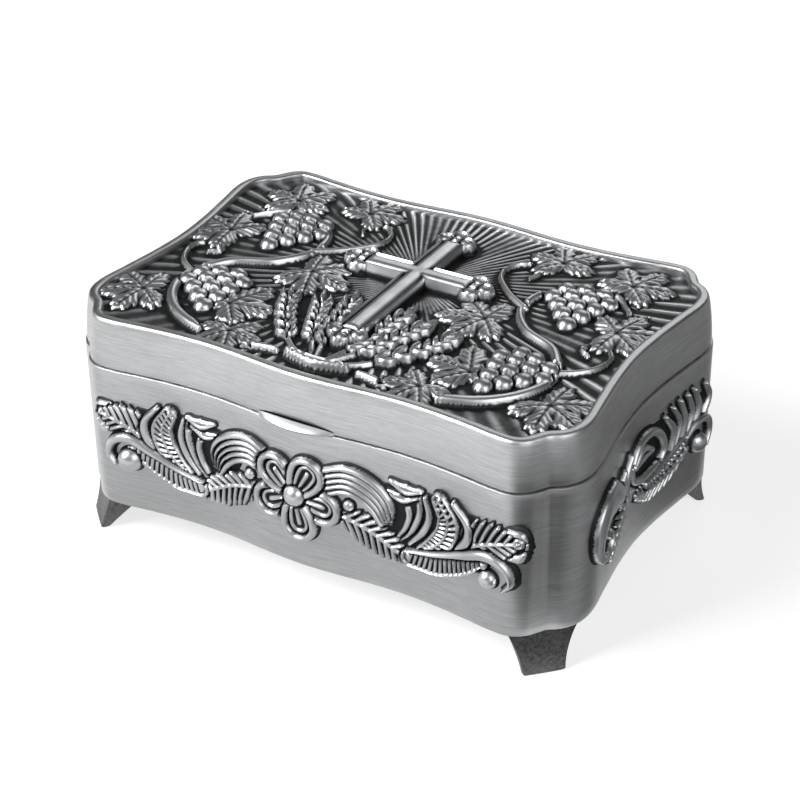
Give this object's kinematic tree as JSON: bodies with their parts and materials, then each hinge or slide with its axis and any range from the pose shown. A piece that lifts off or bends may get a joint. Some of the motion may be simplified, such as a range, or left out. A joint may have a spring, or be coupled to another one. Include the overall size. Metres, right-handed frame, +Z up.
{
  "type": "rosary box",
  "caption": "Small serpentine metal casket on bracket feet, with floral bands in relief, a hinged lid with a raised rim, and a velvet lining.",
  "frame": {"origin": "on the ground under the middle of the whole box, with the hinge at its back", "axes": "+Z up, the front with the thumb lift faces -Y, the length runs along X"},
  "size_m": [0.1266, 0.093, 0.0557],
  "materials": {
    "body_metal": "brushed antique pewter",
    "foot_metal": "dark patinated casting",
    "ornament_metal": "antique relief, dark in its recesses",
    "hinge_steel": "satin",
    "velvet": "short pile"
  },
  "bodies": {
    "box": {"body_shell": "body_metal", "floor_plate": "foot_metal", "foot_front_left": "foot_metal", "foot_front_right": "foot_metal", "foot_back_left": "foot_metal", "foot_back_right": "foot_metal", "foot_screws": "hinge_steel", "ornament_front": "ornament_metal", "ornament_back": "ornament_metal", "ornament_left": "ornament_metal", "ornament_right": "ornament_metal", "hinge_leaf_body": "hinge_steel", "hinge_screws_body": "hinge_steel", "hinge_pin": "hinge_steel", "wall_lining": "velvet", "floor_pad": "velvet"},
    "lid": {"lid_shell": "body_metal", "lid_relief": "ornament_metal", "lid_lining": "velvet", "thumb_lift": "body_metal", "hinge_leaf_lid": "hinge_steel", "hinge_screws_lid": "hinge_steel"}
  },
  "joints": [
    {"name": "lid_hinge", "type": "hinge", "parent": "box", "child": "lid", "pos_m": [0, 0.04255, 0.044], "axis": [-1, 0, 0], "range_deg": [0, 100]}
  ]
}
